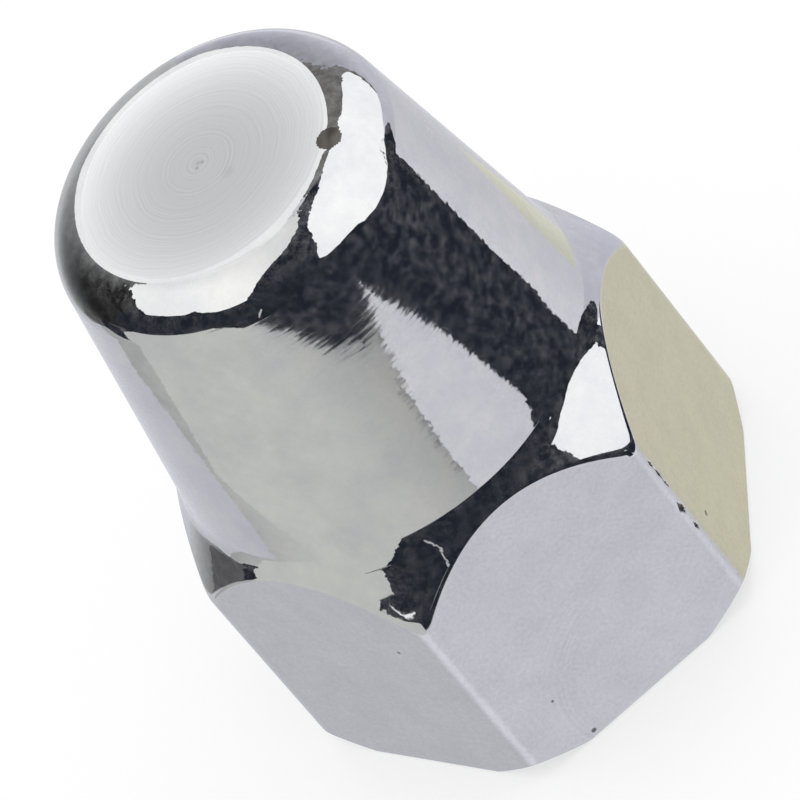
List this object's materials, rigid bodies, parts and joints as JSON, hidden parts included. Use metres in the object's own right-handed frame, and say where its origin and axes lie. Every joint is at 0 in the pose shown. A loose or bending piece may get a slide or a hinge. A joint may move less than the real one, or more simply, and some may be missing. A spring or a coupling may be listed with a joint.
{
  "type": "cap nut",
  "caption": "Tall closed chrome cap nut: hex foot, conical shoulder and tapered barrel with a flat turned end; a blind tapped hole takes a stud and covers its end.",
  "frame": {"origin": "centre of the flat base face, on the thread axis", "axes": "+Z along the thread axis from the base to the closed end, one flat of the hex faces -Y"},
  "size_m": [0.0216, 0.019, 0.028],
  "materials": {
    "chrome": "bright chrome plate on turned steel, satin on the flats and the turned end face"
  },
  "bodies": {
    "root": {"cap_nut": "chrome"}
  },
  "joints": []
}
